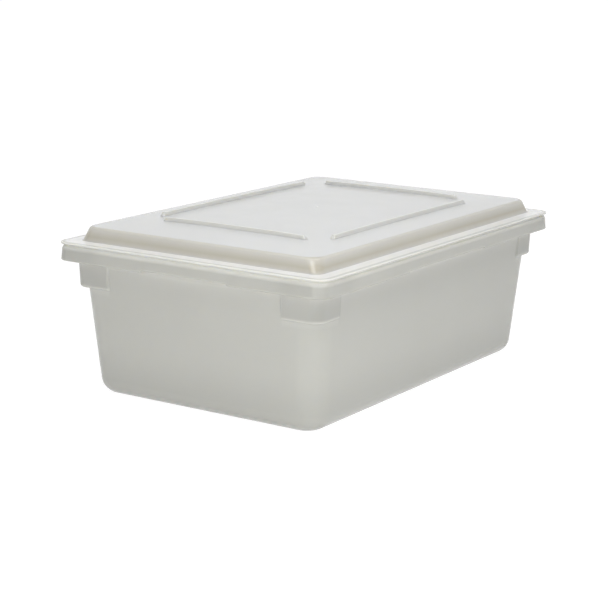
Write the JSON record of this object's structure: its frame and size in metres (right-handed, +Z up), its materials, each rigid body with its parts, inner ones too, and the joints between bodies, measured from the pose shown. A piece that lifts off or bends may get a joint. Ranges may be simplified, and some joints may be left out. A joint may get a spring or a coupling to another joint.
{
  "type": "food storage box",
  "caption": "Rectangular white polyethylene food storage box with drafted walls, a rolled carrying rim with corner lugs, and a lift-off lid with a raised, barred panel.",
  "frame": {"origin": "centre of the base, on the surface the box stands on", "axes": "+X along the length, +Y across the width, +Z up"},
  "size_m": [0.66, 0.457, 0.2564],
  "materials": {
    "box": "satin natural white polyethylene",
    "lid": "smooth satin natural white polyethylene"
  },
  "bodies": {
    "box": {"box": "box"},
    "lid": {"lid": "lid"}
  },
  "joints": [
    {"name": "lid_lift", "type": "slide", "parent": "box", "child": "lid", "axis": [0, 0, 1], "range_m": [0, 0.25]}
  ]
}
